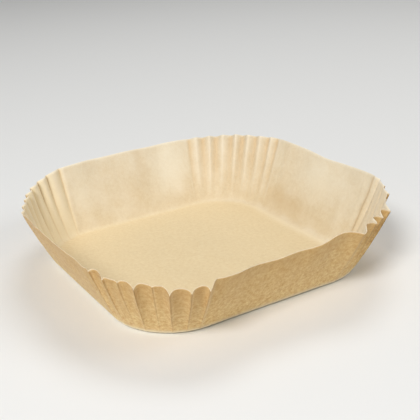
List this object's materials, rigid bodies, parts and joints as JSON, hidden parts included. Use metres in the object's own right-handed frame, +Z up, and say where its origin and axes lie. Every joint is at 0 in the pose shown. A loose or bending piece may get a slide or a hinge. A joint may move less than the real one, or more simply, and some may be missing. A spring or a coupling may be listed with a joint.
{
  "type": "air fryer paper liner",
  "caption": "Square tray pressed from one sheet of baking paper, with soft leaning walls and pleated round corners, laid in a basket to keep it clean.",
  "frame": {"origin": "centre of the square floor, on its underside", "axes": "+Z up out of the tray's mouth; +X and +Y square to the walls"},
  "size_m": [0.2156, 0.2052, 0.0471],
  "materials": {
    "baking_paper": "matt, slightly waxy"
  },
  "bodies": {
    "root": {"paper_liner": "baking_paper"}
  },
  "joints": []
}
